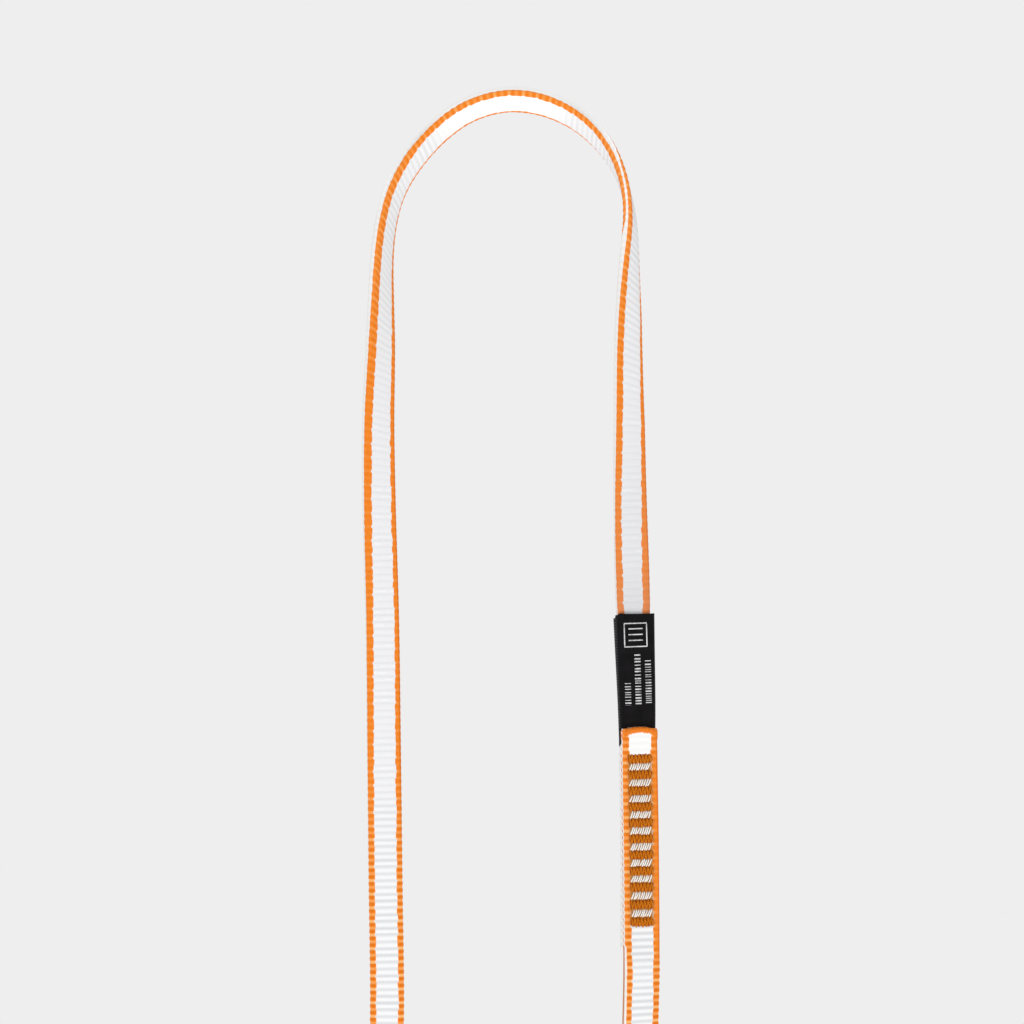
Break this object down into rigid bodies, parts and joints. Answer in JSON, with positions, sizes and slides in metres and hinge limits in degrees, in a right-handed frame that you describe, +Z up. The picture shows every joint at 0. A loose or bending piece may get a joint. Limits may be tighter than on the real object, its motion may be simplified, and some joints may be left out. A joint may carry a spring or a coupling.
{
  "type": "sewn webbing sling",
  "caption": "Closed loop of narrow flat webbing with a bar-tacked splice, whipped cut ends and a sliding protective sleeve; hangs from its top bight.",
  "frame": {"origin": "where the loop bears on what holds it up: the middle of the inner face of the webbing at the top bight", "axes": "+Z up, along the hanging loop; +X to the sewn leg; +Y through the loop, away from the splice's front layer"},
  "size_m": [0.0971, 0.0107, 0.5375],
  "materials": {
    "webbing": "ribbed woven tape, white with an orange stripe by each edge",
    "tack_thread": "dense brown-orange sewing thread",
    "whipping": "orange thread wound over a cut end",
    "sleeve": "black coated fabric with a pale printed panel",
    "seam_thread": "dark grey overcast thread"
  },
  "bodies": {
    "upper_loop": {"webbing_top": "webbing", "webbing_front_tail": "webbing", "end_whipping_front": "whipping", "end_whipping_back": "whipping", "bar_tack_01_needle": "tack_thread", "bar_tack_01_bobbin": "tack_thread", "bar_tack_02_needle": "tack_thread", "bar_tack_02_bobbin": "tack_thread", "bar_tack_03_needle": "tack_thread", "bar_tack_03_bobbin": "tack_thread", "bar_tack_04_needle": "tack_thread", "bar_tack_04_bobbin": "tack_thread", "bar_tack_05_needle": "tack_thread", "bar_tack_05_bobbin": "tack_thread", "bar_tack_06_needle": "tack_thread", "bar_tack_06_bobbin": "tack_thread", "bar_tack_07_needle": "tack_thread", "bar_tack_07_bobbin": "tack_thread", "bar_tack_08_needle": "tack_thread", "bar_tack_08_bobbin": "tack_thread", "bar_tack_09_needle": "tack_thread", "bar_tack_09_bobbin": "tack_thread", "bar_tack_10_needle": "tack_thread", "bar_tack_10_bobbin": "tack_thread", "bar_tack_11_needle": "tack_thread", "bar_tack_11_bobbin": "tack_thread"},
    "lower_loop": {"webbing_bottom": "webbing"},
    "sleeve": {"sleeve_body": "sleeve", "sleeve_seam_thread": "seam_thread"}
  },
  "joints": [
    {"name": "loop_fold", "type": "hinge", "parent": "upper_loop", "child": "lower_loop", "pos_m": [0, 0.00087, -0.32903], "axis": [1, 0, 0], "range_deg": [-90, 90]},
    {"name": "sleeve_slide", "type": "slide", "parent": "upper_loop", "child": "sleeve", "axis": [-0.0281, 0, 0.9996], "range_m": [0, 0.02]}
  ]
}
